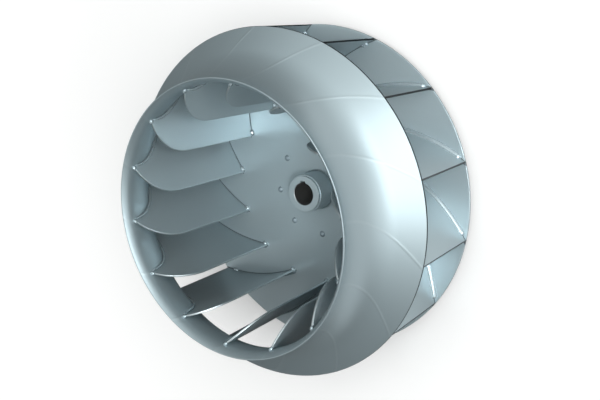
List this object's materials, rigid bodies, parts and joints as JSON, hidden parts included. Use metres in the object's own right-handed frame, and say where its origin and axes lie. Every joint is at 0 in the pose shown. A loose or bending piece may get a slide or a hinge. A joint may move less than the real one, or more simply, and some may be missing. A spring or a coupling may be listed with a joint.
{
  "type": "centrifugal fan wheel",
  "caption": "Backward-curved centrifugal fan wheel: flat back plate, curved sheet-steel blades, flared inlet shroud and a riveted hub with a keyed bore",
  "frame": {"origin": "on the shaft axis at the rear end of the hub, on which the wheel rests when it lies on its back", "axes": "+Z along the shaft axis towards the inlet; +Y through the keyway; +X completes the right-handed frame"},
  "size_m": [0.56, 0.56, 0.2793],
  "materials": {
    "sheet_paint": "glossy grey-blue enamel on steel sheet",
    "hub_paint": "glossy grey-blue enamel on a turned steel hub, bore bare",
    "rivet_paint": "glossy grey-blue enamel on steel rivets",
    "weld_paint": "glossy grey-blue enamel over weld beads"
  },
  "bodies": {
    "root": {"back_plate": "sheet_paint", "inlet_shroud": "sheet_paint", "blade_01": "sheet_paint", "blade_02": "sheet_paint", "blade_03": "sheet_paint", "blade_04": "sheet_paint", "blade_05": "sheet_paint", "blade_06": "sheet_paint", "blade_07": "sheet_paint", "blade_08": "sheet_paint", "blade_09": "sheet_paint", "blade_10": "sheet_paint", "blade_11": "sheet_paint", "blade_12": "sheet_paint", "blade_13": "sheet_paint", "blade_14": "sheet_paint", "hub": "hub_paint", "hub_rivets": "rivet_paint", "plate_welds": "weld_paint", "shroud_welds": "weld_paint"}
  },
  "joints": []
}
